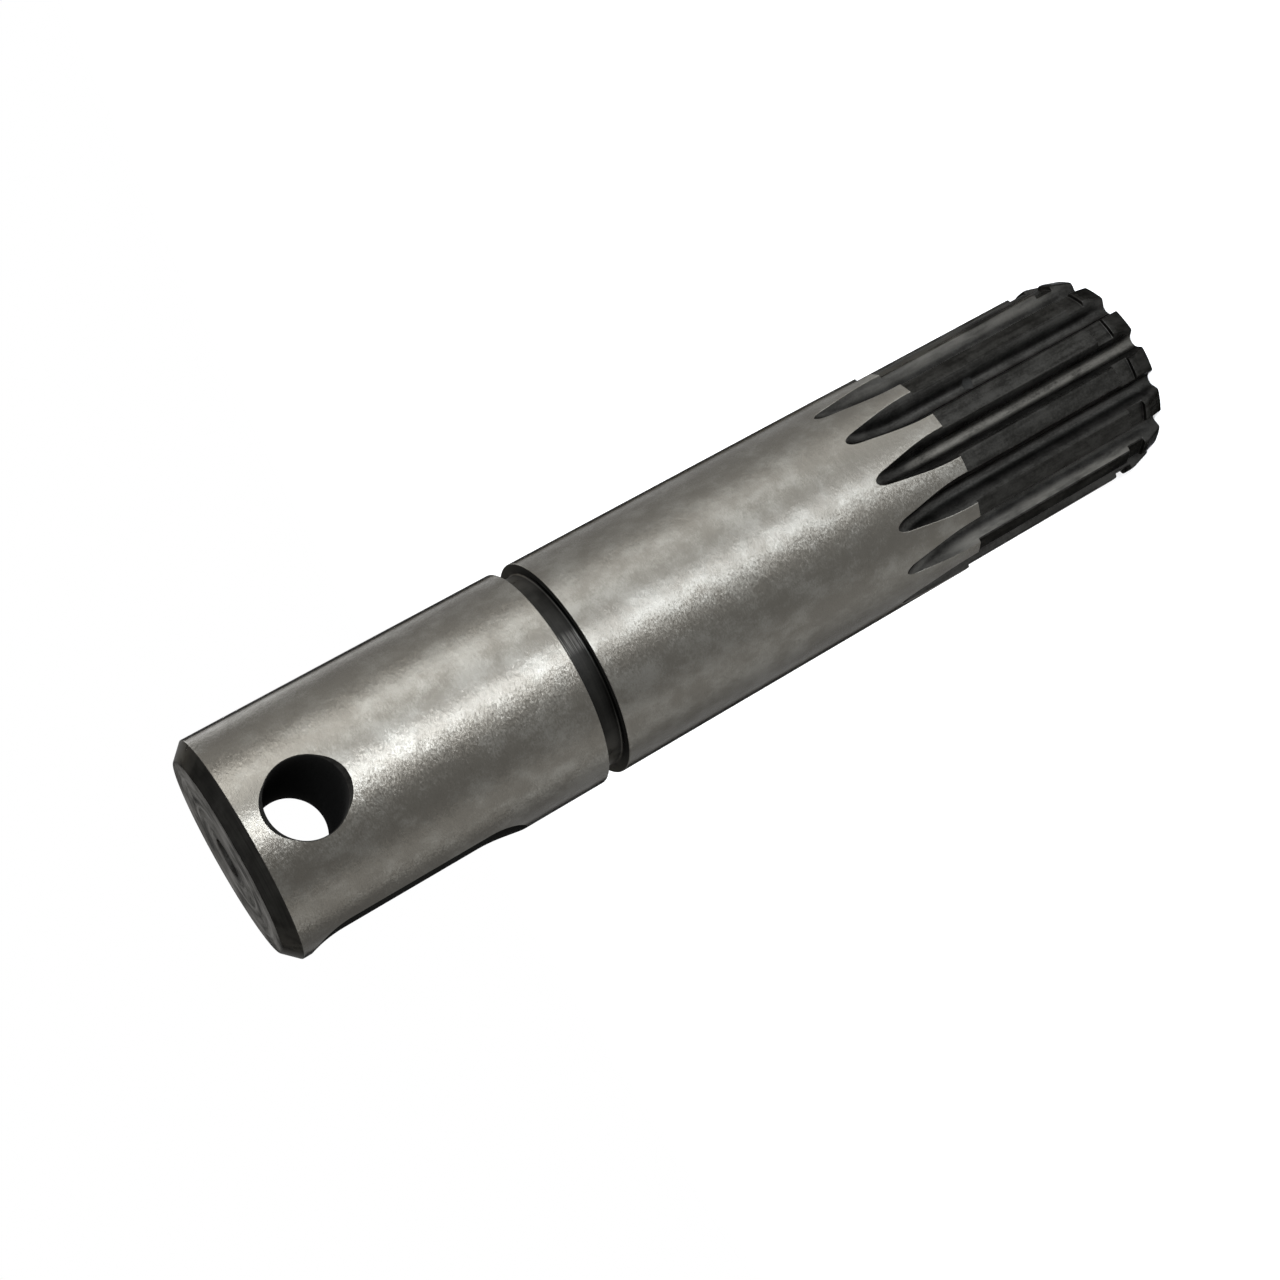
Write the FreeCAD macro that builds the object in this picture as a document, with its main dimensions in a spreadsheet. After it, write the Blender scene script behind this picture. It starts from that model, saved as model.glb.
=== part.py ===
import FreeCAD, Part
import math
import os
import Sketcher

# Splined drive shaft in one piece, standing on its splined end.
# Z runs along the shaft, the keyway faces -X and the cross hole runs along Y.
document = FreeCAD.newDocument("SplinedShaft")


# sizes in millimetres and degrees

# ground body and its chamfered top end
shaft_length = 182.6
body_diameter = 40.0
top_chamfer = 2.5

# retaining ring groove round the body, measured down from the top end
ring_groove_drop = 60.0
ring_groove_width = 3.9
ring_groove_depth = 2.0

# turned part under the splines, a little lower than the ground body
tip_length = 43.7
tip_relief = 0.5
lead_in_length = 3.6
lead_in_height = 1.0
end_land_width = 0.8
tooth_ring_width = 3.65
tooth_ring_depth = 0.75

# teeth, the spaces between them and the run-out of the round cutter
tooth_count = 14
tooth_height = 3.15
tooth_addendum = 1.3
space_width = 3.5
pressure_angle = 25.0
full_depth_length = 44.7
cutter_radius = 35.0
cutter_swing = 45.0
first_space_angle = 10.75
cut_clearance = 0.4

# cross hole with both mouths countersunk
cross_hole_diameter = 13.2
cross_hole_drop = 12.75
countersink_width = 0.8

# keyway with round ends
keyway_width = 14.5
keyway_length = 40.3
keyway_drop = 24.25
keyway_depth = 5.5

# centre holes in both end faces
centre_mouth_diameter = 7.0
centre_pilot_diameter = 3.2
centre_pilot_depth = 7.0
centre_cone_angle = 60.0


# the sheet that drives the model
sheet = document.addObject("Spreadsheet::Sheet", "Sizes")
names = []


def setSize(name, value):
    names.append(name)
    row = len(names)
    sheet.set("A%d" % row, name)
    sheet.set("B%d" % row, str(value))
    sheet.setAlias("B%d" % row, name)


setSize("shaft_length", shaft_length)
setSize("body_diameter", body_diameter)
setSize("top_chamfer", top_chamfer)
setSize("ring_groove_drop", ring_groove_drop)
setSize("ring_groove_width", ring_groove_width)
setSize("ring_groove_depth", ring_groove_depth)
setSize("tip_length", tip_length)
setSize("tip_relief", tip_relief)
setSize("lead_in_length", lead_in_length)
setSize("lead_in_height", lead_in_height)
setSize("end_land_width", end_land_width)
setSize("tooth_ring_width", tooth_ring_width)
setSize("tooth_ring_depth", tooth_ring_depth)
setSize("tooth_count", tooth_count)
setSize("tooth_height", tooth_height)
setSize("tooth_addendum", tooth_addendum)
setSize("space_width", space_width)
setSize("pressure_angle", pressure_angle)
setSize("full_depth_length", full_depth_length)
setSize("cutter_radius", cutter_radius)
setSize("cutter_swing", cutter_swing)
setSize("first_space_angle", first_space_angle)
setSize("cut_clearance", cut_clearance)
setSize("cross_hole_diameter", cross_hole_diameter)
setSize("cross_hole_drop", cross_hole_drop)
setSize("countersink_width", countersink_width)
setSize("keyway_width", keyway_width)
setSize("keyway_length", keyway_length)
setSize("keyway_drop", keyway_drop)
setSize("keyway_depth", keyway_depth)
setSize("centre_mouth_diameter", centre_mouth_diameter)
setSize("centre_pilot_diameter", centre_pilot_diameter)
setSize("centre_pilot_depth", centre_pilot_depth)
setSize("centre_cone_angle", centre_cone_angle)

# sizes that follow from the ones above
setSize("body_radius", "=body_diameter / 2")
setSize("ring_groove_radius", "=body_radius - ring_groove_depth")
setSize("tip_radius", "=body_radius - tip_relief")
setSize("tooth_ring_start", "=lead_in_length + end_land_width")
setSize("tooth_ring_radius", "=tip_radius - tooth_ring_depth")
setSize("root_radius", "=tip_radius - tooth_height")
setSize("pitch_radius", "=tip_radius - tooth_addendum")
setSize("base_radius", "=pitch_radius * cos(pressure_angle)")
setSize("flank_radius", "=pitch_radius * sin(pressure_angle)")
setSize("space_half_angle", "=space_width / (2 * pitch_radius) * 180 / pi")
setSize("flank_centre_angle", "=space_half_angle + pressure_angle")
setSize("flank_centre_out", "=base_radius * cos(flank_centre_angle)")
setSize("flank_centre_side", "=base_radius * sin(flank_centre_angle)")
setSize("flank_centre_rise", "=root_radius - flank_centre_out")
setSize("root_fillet",
        "=(flank_centre_rise ^ 2 + flank_centre_side ^ 2 - flank_radius ^ 2)"
        " / (2 * (flank_radius - flank_centre_rise))")
setSize("root_centre_out", "=root_radius + root_fillet")
setSize("cutter_centre_out", "=root_radius + cutter_radius")
setSize("cut_outside", "=body_radius + cut_clearance")
setSize("cross_hole_radius", "=cross_hole_diameter / 2")
setSize("countersink_start", "=body_radius - countersink_width")
setSize("countersink_outside", "=cross_hole_radius + cut_outside - countersink_start")
setSize("keyway_end_radius", "=keyway_width / 2")
setSize("keyway_half_straight", "=keyway_length / 2 - keyway_end_radius")
setSize("centre_mouth_radius", "=centre_mouth_diameter / 2")
setSize("centre_pilot_radius", "=centre_pilot_diameter / 2")
setSize("centre_cone_depth",
        "=(centre_mouth_radius - centre_pilot_radius) / tan(centre_cone_angle / 2)")
document.recompute()


def size(name):
    return float(sheet.get(name))


# body and its planes
shaft = document.addObject("PartDesign::Body", "splined_shaft")
shaft.Label = "splined_shaft"
document.recompute()


def newSketch(name, role):
    plane = [item for item in shaft.Origin.OriginFeatures if item.Role == role][0]
    sketch = shaft.newObject("Sketcher::SketchObject", name)
    sketch.AttachmentSupport = [(plane, "")]
    sketch.MapMode = "FlatFace"
    return sketch


def total(terms):
    # value of a sum such as "shaft_length - top_chamfer"
    value = 0.0
    sign = 1.0
    for word in terms.split():
        if word in ("+", "-"):
            sign = 1.0 if word == "+" else -1.0
        else:
            value = value + sign * size(word)
    return value


def linked(terms):
    # the same sum written as an expression on the sheet
    return " ".join(word if word in ("+", "-") else "Sizes." + word for word in terms.split())


def bindSide(sketch, kind, part, point, label, terms):
    # ties one coordinate of a point, an empty sum keeps the point on the axis
    if terms == "":
        axis = {"DistanceX": -2, "DistanceY": -1}[kind]
        sketch.addConstraint(Sketcher.Constraint("PointOnObject", part, point, axis))
        return
    rule = Sketcher.Constraint(kind, -1, 1, part, point, total(terms))
    row = sketch.addConstraint(rule)
    sketch.renameConstraint(row, label)
    sketch.setExpression("Constraints." + label, linked(terms))


def bindPoint(sketch, part, point, label, across, up):
    bindSide(sketch, "DistanceX", part, point, label + "Across", across)
    bindSide(sketch, "DistanceY", part, point, label + "Up", up)


def bindRadius(sketch, part, label, name):
    row = sketch.addConstraint(Sketcher.Constraint("Radius", part, size(name)))
    sketch.renameConstraint(row, label)
    sketch.setExpression("Constraints." + label, "Sizes." + name)


def drawOutline(sketch, corners):
    # closed outline of straight sides with every corner tied to the sizes
    places = []
    for label, across, up in corners:
        places.append(FreeCAD.Vector(total(across), total(up), 0))
    first = sketch.GeometryCount
    count = len(places)
    for i in range(count):
        sketch.addGeometry(Part.LineSegment(places[i], places[(i + 1) % count]))
    for i in range(count):
        following = first + (i + 1) % count
        sketch.addConstraint(Sketcher.Constraint("Coincident", first + i, 2, following, 1))
    for i in range(count):
        label, across, up = corners[i]
        bindPoint(sketch, first + i, 1, label, across, up)


def drawAxis(sketch, start, end):
    # construction line for a turned cut, both ends tied to the sizes
    places = [FreeCAD.Vector(total(side[0]), total(side[1]), 0) for side in (start, end)]
    line = sketch.addGeometry(Part.LineSegment(places[0], places[1]), True)
    bindPoint(sketch, line, 1, "axisStart", start[0], start[1])
    bindPoint(sketch, line, 2, "axisEnd", end[0], end[1])


# turned outline with the ring grooves, the step at the splines and the end chamfers
turnedSketch = newSketch("turned_outline", "XZ_Plane")
drawOutline(turnedSketch, [
    ("bottomCentre", "", ""),
    ("leadInStart", "tip_radius - lead_in_height", ""),
    ("leadInEnd", "tip_radius", "lead_in_length"),
    ("toothRingBelow", "tip_radius", "tooth_ring_start"),
    ("toothRingFloorLow", "tooth_ring_radius", "tooth_ring_start"),
    ("toothRingFloorHigh", "tooth_ring_radius", "tooth_ring_start + tooth_ring_width"),
    ("toothRingAbove", "tip_radius", "tooth_ring_start + tooth_ring_width"),
    ("tipStep", "tip_radius", "tip_length"),
    ("bodyStep", "body_radius", "tip_length"),
    ("ringBelow", "body_radius", "shaft_length - ring_groove_drop - ring_groove_width"),
    ("ringFloorLow", "ring_groove_radius", "shaft_length - ring_groove_drop - ring_groove_width"),
    ("ringFloorHigh", "ring_groove_radius", "shaft_length - ring_groove_drop"),
    ("ringAbove", "body_radius", "shaft_length - ring_groove_drop"),
    ("chamferStart", "body_radius", "shaft_length - top_chamfer"),
    ("chamferEnd", "body_radius - top_chamfer", "shaft_length"),
    ("topCentre", "", "shaft_length")])
turned = shaft.newObject("PartDesign::Revolution", "turned_body")
turned.Profile = turnedSketch
turned.ReferenceAxis = (turnedSketch, ["V_Axis"])
turned.Angle = 360
document.recompute()


def volume():
    return shaft.Tip.Shape.Volume


def checkCut(before, label):
    document.recompute()
    after = volume()
    if after >= before:
        raise RuntimeError(label + " took nothing away")
    print(label, "took", round(before - after, 1), "cubic mm")
    return after


left = volume()
print("turned body", round(left, 1), "cubic mm")

# centre holes, drilled and countersunk, one in each end face
centreSketch = newSketch("centre_holes", "XZ_Plane")
drawOutline(centreSketch, [
    ("lowMouthCentre", "", ""),
    ("lowMouthEdge", "centre_mouth_radius", ""),
    ("lowConeEnd", "centre_pilot_radius", "centre_cone_depth"),
    ("lowPilotEnd", "centre_pilot_radius", "centre_pilot_depth"),
    ("lowPilotFloor", "", "centre_pilot_depth")])
drawOutline(centreSketch, [
    ("highMouthCentre", "", "shaft_length"),
    ("highMouthEdge", "centre_mouth_radius", "shaft_length"),
    ("highConeEnd", "centre_pilot_radius", "shaft_length - centre_cone_depth"),
    ("highPilotEnd", "centre_pilot_radius", "shaft_length - centre_pilot_depth"),
    ("highPilotFloor", "", "shaft_length - centre_pilot_depth")])
centreHoles = shaft.newObject("PartDesign::Groove", "centre_holes_cut")
centreHoles.Profile = centreSketch
centreHoles.ReferenceAxis = (centreSketch, ["V_Axis"])
centreHoles.Angle = 360
left = checkCut(left, "centre holes")

# cross hole right through, with a countersunk mouth on each side
crossSketch = newSketch("cross_hole", "YZ_Plane")
crossHeight = "shaft_length - cross_hole_drop"
drawOutline(crossSketch, [
    ("nearCentre", "- cut_outside", crossHeight),
    ("farCentre", "cut_outside", crossHeight),
    ("farMouth", "cut_outside", crossHeight + " + countersink_outside"),
    ("farSinkEnd", "countersink_start", crossHeight + " + cross_hole_radius"),
    ("nearSinkEnd", "- countersink_start", crossHeight + " + cross_hole_radius"),
    ("nearMouth", "- cut_outside", crossHeight + " + countersink_outside")])
drawAxis(crossSketch, ("- cut_outside", crossHeight), ("cut_outside", crossHeight))
crossHole = shaft.newObject("PartDesign::Groove", "cross_hole_cut")
crossHole.Profile = crossSketch
crossHole.ReferenceAxis = (crossSketch, ["Axis0"])
crossHole.Angle = 360
left = checkCut(left, "cross hole")

# keyway with round ends, cut square to the cross hole
keySketch = newSketch("keyway", "YZ_Plane")
keySketch.setExpression("AttachmentOffset.Base.z", "-Sizes.body_radius")
keyHeight = "shaft_length - keyway_drop"
endRadius = size("keyway_end_radius")
lowCentre = FreeCAD.Vector(0, total(keyHeight + " - keyway_half_straight"), 0)
highCentre = FreeCAD.Vector(0, total(keyHeight + " + keyway_half_straight"), 0)
side = FreeCAD.Vector(endRadius, 0, 0)
upward = FreeCAD.Vector(0, endRadius, 0)
rightLine = Part.LineSegment(lowCentre + side, highCentre + side)
highRound = Part.Arc(highCentre + side, highCentre + upward, highCentre - side)
leftLine = Part.LineSegment(highCentre - side, lowCentre - side)
lowRound = Part.Arc(lowCentre - side, lowCentre - upward, lowCentre + side)
rightSide = keySketch.addGeometry(rightLine)
highEnd = keySketch.addGeometry(highRound)
leftSide = keySketch.addGeometry(leftLine)
lowEnd = keySketch.addGeometry(lowRound)
keySketch.addConstraint(Sketcher.Constraint("Tangent", rightSide, 2, highEnd, 1))
keySketch.addConstraint(Sketcher.Constraint("Tangent", highEnd, 2, leftSide, 1))
keySketch.addConstraint(Sketcher.Constraint("Tangent", leftSide, 2, lowEnd, 1))
keySketch.addConstraint(Sketcher.Constraint("Coincident", lowEnd, 2, rightSide, 1))
bindPoint(keySketch, highEnd, 3, "highEnd", "", keyHeight + " + keyway_half_straight")
bindPoint(keySketch, lowEnd, 3, "lowEnd", "", keyHeight + " - keyway_half_straight")
bindRadius(keySketch, highEnd, "endRadius", "keyway_end_radius")
keyway = shaft.newObject("PartDesign::Pocket", "keyway_cut")
keyway.Profile = keySketch
keyway.Reversed = True
keyway.setExpression("Length", "Sizes.keyway_depth")
left = checkCut(left, "keyway")

# one space between two teeth: a round root and two curved flanks, open to the outside
spaceSketch = newSketch("tooth_space", "XY_Plane")
spaceSketch.setExpression("AttachmentOffset.Base.z", "Sizes.full_depth_length")
spaceSketch.setExpression("AttachmentOffset.Rotation.Angle", "Sizes.first_space_angle")
flat = FreeCAD.Vector(0, 0, 1)
rootCentre = FreeCAD.Vector(size("root_centre_out"), 0, 0)
leftCentre = FreeCAD.Vector(size("flank_centre_out"), size("flank_centre_side"), 0)
rightCentre = FreeCAD.Vector(size("flank_centre_out"), -size("flank_centre_side"), 0)
flankRadius = size("flank_radius")
meet = (leftCentre - rootCentre).getAngle(FreeCAD.Vector(1, 0, 0))
flankOut = (size("cut_outside") - leftCentre.x) / flankRadius
leave = math.acos(flankOut)
rootCircle = Part.Circle(rootCentre, flat, size("root_fillet"))
leftCircle = Part.Circle(leftCentre, flat, flankRadius)
rightCircle = Part.Circle(rightCentre, flat, flankRadius)
root = spaceSketch.addGeometry(Part.ArcOfCircle(rootCircle, meet, 2 * math.pi - meet))
leftFlank = spaceSketch.addGeometry(Part.ArcOfCircle(leftCircle, meet - math.pi, -leave))
rightFlank = spaceSketch.addGeometry(Part.ArcOfCircle(rightCircle, leave, math.pi - meet))
mouthRight = rightCircle.value(leave)
mouthLeft = leftCircle.value(-leave)
mouth = spaceSketch.addGeometry(Part.LineSegment(mouthRight, mouthLeft))
bindPoint(spaceSketch, root, 3, "rootCentre", "root_centre_out", "")
bindPoint(spaceSketch, leftFlank, 3, "leftCentre", "flank_centre_out", "flank_centre_side")
bindPoint(spaceSketch, rightFlank, 3, "rightCentre", "flank_centre_out", "- flank_centre_side")
bindRadius(spaceSketch, leftFlank, "flankRadius", "flank_radius")
spaceSketch.addConstraint(Sketcher.Constraint("Tangent", root, 1, leftFlank, 1))
spaceSketch.addConstraint(Sketcher.Constraint("Tangent", root, 2, rightFlank, 2))
spaceSketch.addConstraint(Sketcher.Constraint("Coincident", rightFlank, 1, mouth, 1))
spaceSketch.addConstraint(Sketcher.Constraint("Coincident", leftFlank, 2, mouth, 2))
spaceSketch.addConstraint(Sketcher.Constraint("Vertical", mouth))
bindSide(spaceSketch, "DistanceX", mouth, 1, "mouthAcross", "cut_outside")
drawAxis(spaceSketch, ("cutter_centre_out", "- cut_outside"), ("cutter_centre_out", "cut_outside"))

# the space at full depth, then its run-out where the round cutter leaves the shaft
spaceCut = shaft.newObject("PartDesign::Pocket", "tooth_space_cut")
spaceCut.Profile = spaceSketch
spaceCut.Type = "ThroughAll"
left = checkCut(left, "tooth space")
runOut = shaft.newObject("PartDesign::Groove", "tooth_space_run_out")
runOut.Profile = spaceSketch
runOut.ReferenceAxis = (spaceSketch, ["Axis0"])
runOut.setExpression("Angle", "Sizes.cutter_swing")
left = checkCut(left, "run-out")

# all the spaces round the shaft
spaces = shaft.newObject("PartDesign::PolarPattern", "tooth_spaces")
spaces.Originals = [spaceCut, runOut]
spaces.Axis = ([item for item in shaft.Origin.OriginFeatures if item.Role == "Z_Axis"][0], [""])
spaces.Angle = 360
spaces.setExpression("Occurrences", "Sizes.tooth_count")
shaft.Tip = spaces
left = checkCut(left, "spaces round the shaft")

# every object has to be sound before the part is written
for item in document.Objects:
    if "Invalid" in item.State or "Error" in item.State:
        raise RuntimeError(item.Name + " is not sound: " + str(item.State))
    if hasattr(item, "Shape") and item.isDerivedFrom("PartDesign::Feature"):
        if item.Shape.isNull() or not item.Shape.isValid():
            raise RuntimeError(item.Name + " has no sound shape")
if len(shaft.Shape.Solids) != 1:
    raise RuntimeError("the shaft is not one solid")
print("faces", len(shaft.Shape.Faces), "volume", round(shaft.Shape.Volume, 1))
print("box", shaft.Shape.BoundBox)

os.makedirs("parts", exist_ok=True)
shaft.Shape.exportStep("parts/splined_shaft.step")
print("written")
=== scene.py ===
import math

import bmesh
import bpy
import numpy as np
from mathutils import Matrix


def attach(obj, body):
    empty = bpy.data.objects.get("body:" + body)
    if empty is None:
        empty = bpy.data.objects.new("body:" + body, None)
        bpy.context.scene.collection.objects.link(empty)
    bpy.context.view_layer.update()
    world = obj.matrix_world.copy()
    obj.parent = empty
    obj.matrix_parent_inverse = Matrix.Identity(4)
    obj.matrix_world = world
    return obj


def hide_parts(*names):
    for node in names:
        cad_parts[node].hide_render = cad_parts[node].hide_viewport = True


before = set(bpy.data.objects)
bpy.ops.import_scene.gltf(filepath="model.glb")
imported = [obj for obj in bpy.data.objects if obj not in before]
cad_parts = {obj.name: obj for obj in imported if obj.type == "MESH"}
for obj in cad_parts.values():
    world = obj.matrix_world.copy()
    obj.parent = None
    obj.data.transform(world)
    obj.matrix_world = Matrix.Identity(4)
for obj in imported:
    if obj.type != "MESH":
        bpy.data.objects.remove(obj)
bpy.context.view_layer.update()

# Splined shaft, standing on its splined end. Lengths in millimetres and angles in degrees
# here, metres in the finished meshes. Z runs up the shaft, the keyway faces -X.
toMetres = 0.001
print("frame loaded, nodes:", sorted(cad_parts))


# Small helpers for node trees

def newMaterial(name):
    material = bpy.data.materials.new(name)
    material.use_nodes = True
    tree = material.node_tree
    tree.nodes.clear()
    return material, tree


def addNode(tree, kind, settings=None, values=None):
    node = tree.nodes.new(kind)
    for name, value in (settings or {}).items():
        setattr(node, name, value)
    for name, value in (values or {}).items():
        node.inputs[name].default_value = value
    return node


def mathNode(tree, operation, first, second):
    node = addNode(tree, "ShaderNodeMath", {"operation": operation})
    for place, value in enumerate((first, second)):
        if isinstance(value, (int, float)):
            node.inputs[place].default_value = value
        else:
            tree.links.new(value, node.inputs[place])
    return node.outputs[0]


def product(tree, first, *others):
    # all the values multiplied together
    for other in others:
        first = mathNode(tree, "MULTIPLY", first, other)
    return first


def oneMinus(tree, value):
    return mathNode(tree, "SUBTRACT", 1.0, value)


def weightedSum(tree, values, shares, start=None):
    # start plus each value times its share
    total = start
    for value, share in zip(values, shares):
        term = product(tree, value, share)
        total = term if total is None else mathNode(tree, "ADD", total, term)
    return total


def rampNode(tree, source, low, high):
    # source runs from 0 at low to 1 at high
    node = addNode(tree, "ShaderNodeMapRange", {"interpolation_type": "SMOOTHSTEP"},
                   {"From Min": low, "From Max": high})
    tree.links.new(source, node.inputs["Value"])
    return node.outputs["Result"]


def mixColour(tree, factor, first, second):
    node = addNode(tree, "ShaderNodeMix", {"data_type": "RGBA"})
    tree.links.new(factor, node.inputs["Factor"])
    for name, value in (("A", first), ("B", second)):
        socket = [item for item in node.inputs if item.name == name and item.type == "RGBA"][0]
        if isinstance(value, tuple):
            socket.default_value = value
        else:
            tree.links.new(value, socket)
    return [item for item in node.outputs if item.type == "RGBA"][0]


def objectPlace(tree, scale):
    # object coordinates in millimetres, stretched by scale along each axis
    place = addNode(tree, "ShaderNodeTexCoord")
    stretch = addNode(tree, "ShaderNodeMapping")
    stretch.inputs["Scale"].default_value = [part / toMetres for part in scale]
    tree.links.new(place.outputs["Object"], stretch.inputs["Vector"])
    return stretch.outputs["Vector"]


def noiseNode(tree, scale, detail, roughness, seed):
    vector = objectPlace(tree, scale)
    shift = addNode(tree, "ShaderNodeVectorMath", {"operation": "ADD"})
    shift.inputs[1].default_value = (seed, seed * 1.7, seed * 2.3)
    tree.links.new(vector, shift.inputs[0])
    node = addNode(tree, "ShaderNodeTexNoise", {"noise_dimensions": "3D"},
                   {"Scale": 1.0, "Detail": detail, "Roughness": roughness})
    tree.links.new(shift.outputs[0], node.inputs["Vector"])
    return node.outputs["Fac"]


# Finishes, all in the shaft's own object coordinates. A noise is given by its scale along X, Y
# and Z per millimetre, its detail, its roughness and its seed. A range is where a value starts
# and ends its run from 0 to 1. A side is its angle round the shaft, half width and softness.

def cylinderRadius(tree):
    # distance from the shaft's axis in millimetres
    place = addNode(tree, "ShaderNodeTexCoord")
    flat = addNode(tree, "ShaderNodeVectorMath", {"operation": "MULTIPLY"})
    flat.inputs[1].default_value = (1.0 / toMetres, 1.0 / toMetres, 0.0)
    tree.links.new(place.outputs["Object"], flat.inputs[0])
    out = addNode(tree, "ShaderNodeVectorMath", {"operation": "LENGTH"})
    tree.links.new(flat.outputs[0], out.inputs[0])
    return out.outputs["Value"]


def shaftHeight(tree):
    # height above the splined end in millimetres
    parts = addNode(tree, "ShaderNodeSeparateXYZ")
    tree.links.new(objectPlace(tree, (1.0, 1.0, 1.0)), parts.inputs[0])
    return parts.outputs["Z"]


def sideMask(tree, angle, half, soft):
    # 1 on the side of the shaft that faces angle, falling to 0 beyond half degrees either way
    place = addNode(tree, "ShaderNodeTexCoord")
    flat = addNode(tree, "ShaderNodeVectorMath", {"operation": "MULTIPLY"})
    flat.inputs[1].default_value = (1.0, 1.0, 0.0)
    tree.links.new(place.outputs["Object"], flat.inputs[0])
    unit = addNode(tree, "ShaderNodeVectorMath", {"operation": "NORMALIZE"})
    tree.links.new(flat.outputs[0], unit.inputs[0])
    facing = addNode(tree, "ShaderNodeVectorMath", {"operation": "DOT_PRODUCT"})
    turn = math.radians(angle)
    facing.inputs[1].default_value = (math.cos(turn), math.sin(turn), 0.0)
    tree.links.new(unit.outputs[0], facing.inputs[0])
    return rampNode(tree, facing.outputs["Value"], math.cos(math.radians(half + soft)),
                    math.cos(math.radians(max(half - soft, 0.0))))


def finishShader(tree, colour, rough, height, settings):
    shader = addNode(tree, "ShaderNodeBsdfPrincipled", None, {"Metallic": settings["metallic"]})
    if "edgeTint" in settings:
        shader.inputs["Specular Tint"].default_value = settings["edgeTint"]
    tree.links.new(colour, shader.inputs["Base Color"])
    tree.links.new(rough, shader.inputs["Roughness"])
    bump = addNode(tree, "ShaderNodeBump", None,
                   {"Strength": settings["bumpStrength"],
                    "Distance": settings["bumpHeight"] * toMetres})
    tree.links.new(height, bump.inputs["Height"])
    tree.links.new(bump.outputs[0], shader.inputs["Normal"])
    output = addNode(tree, "ShaderNodeOutputMaterial")
    tree.links.new(shader.outputs[0], output.inputs["Surface"])
    return shader


groundFinish = {
    "metallic": 1.0,
    "edgeTint": (0.62, 0.62, 0.62, 1.0),
    "paintedRimTint": (0.0, 0.0, 0.0, 1.0),
    "rimRange": (0.70, 0.90),
    "dark": (0.0608, 0.0568, 0.0492, 1.0),
    "light": (0.0915, 0.0882, 0.0790, 1.0),
    "rough": 0.35,
    "bumpStrength": 1.0,
    "bumpHeight": 0.045,
    "clouds": ((0.10, 0.10, 0.055), 5.0, 0.62, 3.0),
    "patches": ((0.30, 0.30, 0.22), 4.0, 0.60, 8.0),
    "grain": ((2.0, 2.0, 3.4), 4.0, 0.75, 5.0),
    "pits": ((1.2, 1.2, 1.5), 5.0, 0.60, 31.0),
    "ripple": ((0.16, 0.16, 0.30), 3.0, 0.55, 12.0),
    "toneShares": (0.38, 0.40, 0.31),
    "toneRange": (0.48, 0.68),
    "keyedRange": (118.0, 124.0),
    "roughShares": (0.14, 0.08, -0.05),
    "bumpShares": (0.5, 0.8, 3.0),
    "stretch": 0.85,
    "stretchTurn": 0.25,
    "lean": 0.42,
}


def groundSteel():
    # fine grinding marks run round the shaft, under cloudy stains
    finish = groundFinish
    material, tree = newMaterial("groundSteel")
    clouds = noiseNode(tree, *finish["clouds"])
    patches = noiseNode(tree, *finish["patches"])
    grain = noiseNode(tree, *finish["grain"])
    pits = noiseNode(tree, *finish["pits"])
    ripple = noiseNode(tree, *finish["ripple"])
    tone = weightedSum(tree, (clouds, patches, grain), finish["toneShares"])
    colour = mixColour(tree, rampNode(tree, tone, *finish["toneRange"]),
                       finish["dark"], finish["light"])
    keyed = rampNode(tree, shaftHeight(tree), *finish["keyedRange"])
    rough = weightedSum(tree, (grain, clouds, keyed), finish["roughShares"], finish["rough"])
    height = weightedSum(tree, (grain, pits, ripple), finish["bumpShares"])
    shader = finishShader(tree, colour, rough, height, finish)
    shader.inputs["Anisotropic"].default_value = finish["stretch"]
    shader.inputs["Anisotropic Rotation"].default_value = finish["stretchTurn"]
    tangent = addNode(tree, "ShaderNodeTangent", {"direction_type": "RADIAL", "axis": "Z"})
    tree.links.new(tangent.outputs[0], shader.inputs["Tangent"])
    # each grinding mark leans a little round the shaft, so the edge of a highlight is ragged
    lean = addNode(tree, "ShaderNodeVectorMath", {"operation": "SCALE"})
    tree.links.new(tangent.outputs[0], lean.inputs[0])
    tree.links.new(product(tree, mathNode(tree, "SUBTRACT", grain, 0.5), finish["lean"]),
                   lean.inputs["Scale"])
    leaning = addNode(tree, "ShaderNodeVectorMath", {"operation": "ADD"})
    tree.links.new(shader.inputs["Normal"].links[0].from_socket, leaning.inputs[0])
    tree.links.new(lean.outputs[0], leaning.inputs[1])
    unit = addNode(tree, "ShaderNodeVectorMath", {"operation": "NORMALIZE"})
    tree.links.new(leaning.outputs[0], unit.inputs[0])
    tree.links.new(unit.outputs[0], shader.inputs["Normal"])
    # the gloss is turned down right at the outline: a painted dark rim along the shaft's outline
    facing = addNode(tree, "ShaderNodeLayerWeight", None, {"Blend": 0.5})
    rim = rampNode(tree, facing.outputs["Facing"], *finish["rimRange"])
    tree.links.new(mixColour(tree, rim, finish["edgeTint"], finish["paintedRimTint"]),
                   shader.inputs["Specular Tint"])
    return material


toothFinish = {
    "metallic": 1.0,
    "edgeTint": (0.35, 0.35, 0.35, 1.0),
    "dark": (0.0066, 0.0064, 0.0058, 1.0),
    "light": (0.0172, 0.0167, 0.0154, 1.0),
    "rough": 0.36,
    "bumpStrength": 0.5,
    "bumpHeight": 0.020,
}

grooveFinish = {
    "metallic": 1.0,
    "edgeTint": (0.35, 0.35, 0.35, 1.0),
    "dark": (0.0100, 0.0097, 0.0090, 1.0),
    "light": (0.0230, 0.0224, 0.0208, 1.0),
    "rough": 0.33,
    "bumpStrength": 0.5,
    "bumpHeight": 0.020,
}
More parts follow.
